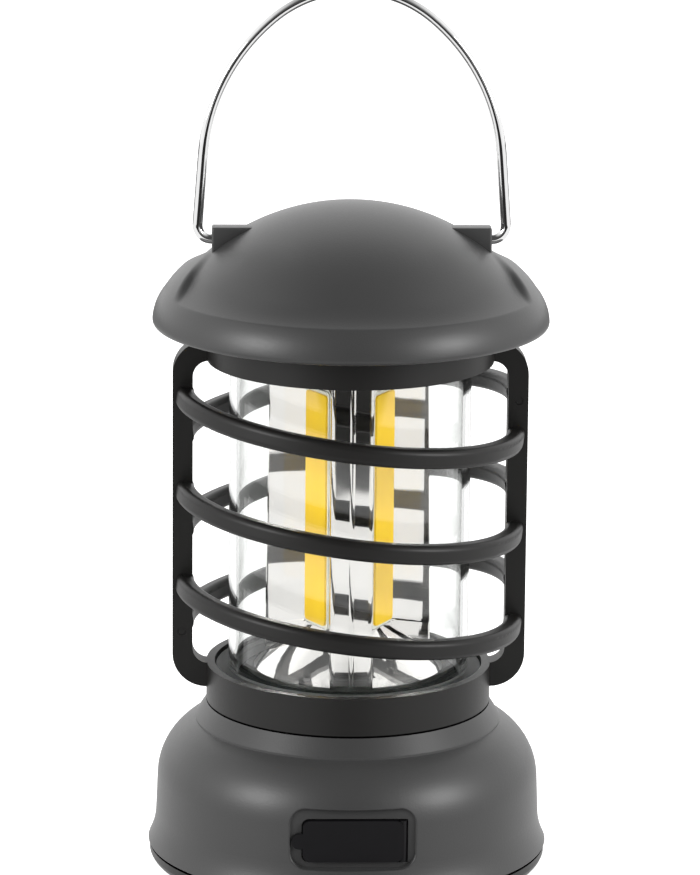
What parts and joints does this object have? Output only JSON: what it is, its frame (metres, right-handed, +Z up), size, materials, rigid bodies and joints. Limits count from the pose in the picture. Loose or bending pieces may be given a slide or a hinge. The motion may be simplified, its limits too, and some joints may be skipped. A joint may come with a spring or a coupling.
{
  "type": "camping lantern",
  "caption": "Rechargeable camping lantern with domed roof, guard cage round a clear lens, plated reflector, bell base with port flap, and a swinging wire bail.",
  "frame": {"origin": "centre of the foot ring's underside, on the floor", "axes": "+Z up along the lantern's axis, -Y towards the port flap, +X to the viewer's right from the front"},
  "size_m": [0.1, 0.1, 0.2222],
  "materials": {
    "soft_grey_plastic": "fine matte, soft to the touch",
    "black_plastic": "fine matte",
    "clear_plastic": "clear polished",
    "plated_plastic": "bright vacuum plated",
    "yellow_phosphor": "satin gel",
    "white_board": "white solder mask",
    "green_board": "solder mask",
    "chrome_wire": "polished plating",
    "steel_screw": "zinc plated",
    "socket_steel": "tinned",
    "black_rubber": "matte moulded rubber",
    "cell_can": "shrink sleeve"
  },
  "bodies": {
    "lantern": {"bottom_cover": "black_plastic", "foot_ring": "black_rubber", "base_shell": "soft_grey_plastic", "battery_cell": "cell_can", "main_board": "green_board", "board_screws": "steel_screw", "switch_board": "green_board", "switch_screws": "steel_screw", "tact_switch": "black_plastic", "cover_screws": "steel_screw", "usb_a_socket": "socket_steel", "usb_c_socket": "socket_steel", "light_deck": "black_plastic", "deck_screws": "steel_screw", "reflector_screws": "steel_screw", "lens_seal": "black_rubber", "lens": "clear_plastic", "reflector": "plated_plastic", "cap_seal": "black_rubber", "ceiling": "black_plastic", "roof_screws": "steel_screw", "front_cage": "black_plastic", "rear_cage": "black_plastic", "roof": "soft_grey_plastic", "led_board_1": "white_board", "led_strip_1": "yellow_phosphor", "led_board_2": "white_board", "led_strip_2": "yellow_phosphor", "led_board_3": "white_board", "led_strip_3": "yellow_phosphor"},
    "bail": {"bail": "chrome_wire"},
    "flap": {"port_flap": "black_rubber"},
    "button": {"power_button": "black_rubber"}
  },
  "joints": [
    {"name": "bail_swing", "type": "hinge", "parent": "lantern", "child": "bail", "pos_m": [0, 0, 0.1592], "axis": [1, 0, 0], "range_deg": [-108, 108]},
    {"name": "flap_hinge", "type": "hinge", "parent": "lantern", "child": "flap", "pos_m": [0.01225, -0.0445, 0.0186], "axis": [0, 0, 1], "range_deg": [0, 110], "stiffness_Nm_per_rad": 0.002, "springref_deg": -11.46},
    {"name": "button_press", "type": "slide", "parent": "lantern", "child": "button", "axis": [0, -1, 0], "range_m": [0, 0.0006], "stiffness_N_per_m": 800, "springref_m": -0.0006}
  ]
}
